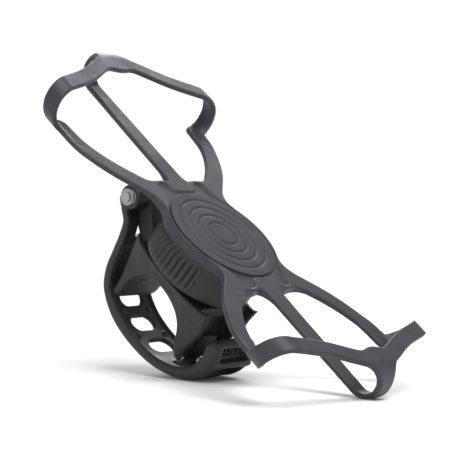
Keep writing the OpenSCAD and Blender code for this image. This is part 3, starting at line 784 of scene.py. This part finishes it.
def table_outline():
    """The turntable's outline, and which of its points carry the ribs."""
    z0, z1 = table_low[2], table_high[2]
    body = TABLE_R - RIB_DEPTH
    rim = z1 - RIM_H
    foot = [(TABLE_BORE, z0), (body - 0.6, z0), (body - 0.18, z0 + 0.12), (body, z0 + 0.45)]
    grip = [(body, z) for z in np.linspace(z0 + 0.6, rim - 0.55, 9)]
    top = [(body, rim - 0.45), (body + 0.05, rim - 0.2), (body + 0.25, rim), (TABLE_R - 0.15, rim + 0.1),
           (TABLE_R, rim + 0.3), (TABLE_R, z1 - 0.25), (TABLE_R - 0.25, z1), (TABLE_R - TABLE_WALL, z1),
           (TABLE_R - TABLE_WALL, z0 + TABLE_FLOOR), (TABLE_BORE, z0 + TABLE_FLOOR)]
    return [*foot, *grip, *top], (len(foot), len(foot) + len(grip))


outline, (rib_from, rib_to) = table_outline()


def ribbed(angle, j, r):
    """The rim's radius: ribs stand out of it in two sectors, with rounded ends."""
    if not rib_from <= j < rib_to:
        return np.full(len(angle), r)
    deg = np.degrees(angle) % 180
    near = np.minimum(deg, 180 - deg)
    phase = (near / RIB_PITCH + 0.5) % 1 - 0.5
    bump = np.sqrt(np.maximum(0, 1 - (phase * 2 * 1.12) ** 2)) * RIB_DEPTH
    t = (j - rib_from) / (rib_to - rib_from - 1)
    ease = math.sqrt(max(0.0, 1 - (abs(2 * t - 1) ** 6)))
    return r + bump * ease * (near <= RIB_SECTOR - RIB_PITCH * 0.4)


verts, faces = lathe(outline, turns=720, swell=ribbed)
turntable = make_mesh("turntable_grip", verts, faces)
finish(turntable, "turntable_plastic")
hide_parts("turntable")
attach(turntable, "turntable")

# ---------------------------------------------------------------- soft pad and dust ring

PAD_ROLL = 0.3
RING_DEPTH, RING_FROM, RING_PITCH = 0.3, 3, 3.5


def pad_outline():
    """A disc with a rolled edge and shallow rings moulded in its face."""
    z0, z1 = PAD_TOP, pad_high[2]
    r = [0.0, *np.arange(0.6, PAD_R - 0.5, 0.2)]
    face = [(a, z1 - RING_DEPTH * max(0.0, math.cos((a - 5) / RING_PITCH * 2 * math.pi)) ** 3
             * (RING_FROM < a < PAD_R - 1.5)) for a in r]
    roll = [(PAD_R - PAD_ROLL + PAD_ROLL * math.sin(t), z1 - PAD_ROLL + PAD_ROLL * math.cos(t))
            for t in np.linspace(0, math.pi / 2, 6)]
    return [(0, z0), (PAD_R, z0), *roll[::-1], *face[::-1]]


verts, faces = lathe(pad_outline(), turns=180)
pad = make_mesh("phone_rest_pad", verts, faces)
finish(pad, "pad_rubber")
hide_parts("phone_pad")
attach(pad, "turntable")

ring_low, ring_high = local_box("dust_ring")
ring_w = 0.5
ring_r = ring_high[0] - ring_w
ring_mid, ring_half = (ring_low[2] + ring_high[2]) / 2, (ring_high[2] - ring_low[2]) / 2
# an oval with full shoulders
ring_outline = [(ring_r + ring_w * math.cos(t) * abs(math.cos(t)) ** -0.5,
                 ring_mid + ring_half * math.sin(t) * abs(math.sin(t)) ** -0.5)
                for t in (np.arange(24) + 0.5) * math.pi / 12]
verts, faces = lathe(ring_outline, turns=240)
seal = make_mesh("dust_lip", verts, faces)
finish(seal, "seal_rubber")
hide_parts("dust_ring")
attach(seal, "saddle")

# ---------------------------------------------------------------- camera, floor and light

camera = bpy.data.objects.new("camera", bpy.data.cameras.new("camera"))
camera.data.sensor_width = 36
camera.data.lens = 129.97
camera.data.shift_x = 0.0046
camera.data.shift_y = -0.0039
camera.location = (-0.4076, -0.33988, 0.04906)
camera.rotation_euler = [math.radians(a) for a in (87.7944, -1.2473, -52.2415)]
camera.data.clip_start, camera.data.clip_end = 0.01, 20
bpy.context.scene.collection.objects.link(camera)
bpy.context.scene.camera = camera

FLOOR_HALF = 6.0                            # metres
floor_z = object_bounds()[0].z
floor = make_mesh("floor", [(0, 0, 0)] * 4, [(0, 1, 2, 3)], smooth=False)
for v, (x, y) in zip(floor.data.vertices, ((-1, -1), (1, -1), (1, 1), (-1, 1))):
    v.co = (x * FLOOR_HALF, y * FLOOR_HALF, floor_z)
floor.data.update()
pale = bpy.data.materials.new("floor_paper")
pale.use_nodes = True
nodes, links = pale.node_tree.nodes, pale.node_tree.links
paper = nodes["Principled BSDF"]
paper.inputs["Base Color"].default_value = (0.84, 0.84, 0.84, 1)
paper.inputs["Roughness"].default_value = 0.75
paper.inputs["Specular IOR Level"].default_value = 0.2
# the sweep of paper runs out to white, so that no horizon shows
place = nodes.new("ShaderNodeTexCoord")
far = nodes.new("ShaderNodeVectorMath")
far.operation = "LENGTH"
links.new(place.outputs["Object"], far.inputs[0])
fade = nodes.new("ShaderNodeMapRange")
fade.interpolation_type = "SMOOTHSTEP"
fade.inputs["From Min"].default_value = 0.1
fade.inputs["From Max"].default_value = 0.6
links.new(far.outputs["Value"], fade.inputs["Value"])
white = nodes.new("ShaderNodeEmission")
# the floor's far white isn't sampled as a lamp, which would speckle the harness
pale.cycles.emission_sampling = "NONE"
blend = nodes.new("ShaderNodeMixShader")
links.new(fade.outputs["Result"], blend.inputs["Fac"])
links.new(paper.outputs["BSDF"], blend.inputs[1])
links.new(white.outputs["Emission"], blend.inputs[2])
links.new(blend.outputs["Shader"], nodes["Material Output"].inputs["Surface"])
floor.data.materials.append(pale)


def softbox(name, place, target, width, height, power):
    light = bpy.data.lights.new(name, "AREA")
    light.shape = "RECTANGLE"
    light.size, light.size_y = width, height
    light.energy = power
    obj = bpy.data.objects.new(name, light)
    obj.location = place
    obj.rotation_euler = (Vector(target) - Vector(place)).to_track_quat("-Z", "Y").to_euler()
    bpy.context.scene.collection.objects.link(obj)


softbox("key", (-0.1, -0.4, 0.95), (0, 0, 0.03), width=0.7, height=0.7, power=12)
softbox("fill", (-0.9, -0.1, 0.35), (0, 0, 0.02), width=0.5, height=0.4, power=1.5)
softbox("rim", (0.7, 0.5, 0.6), (0, 0, 0.03), width=0.6, height=0.4, power=5)

# a pale studio: white round the horizon and dimmer overhead
world = bpy.data.worlds.new("studio")
world.use_nodes = True
nodes, links = world.node_tree.nodes, world.node_tree.links
sky = nodes.new("ShaderNodeTexCoord")
split = nodes.new("ShaderNodeSeparateXYZ")
links.new(sky.outputs["Generated"], split.inputs["Vector"])
dim = nodes.new("ShaderNodeMapRange")
dim.interpolation_type = "SMOOTHSTEP"
dim.inputs["From Min"].default_value = 0.15
dim.inputs["From Max"].default_value = 0.45
dim.inputs["To Min"].default_value = 1.0
dim.inputs["To Max"].default_value = 0.3
links.new(split.outputs["Z"], dim.inputs["Value"])
links.new(dim.outputs["Result"], nodes["Background"].inputs["Strength"])
nodes["Background"].inputs["Color"].default_value = (1, 1, 1, 1)
bpy.context.scene.world = world
bpy.context.scene.view_settings.view_transform = "Standard"
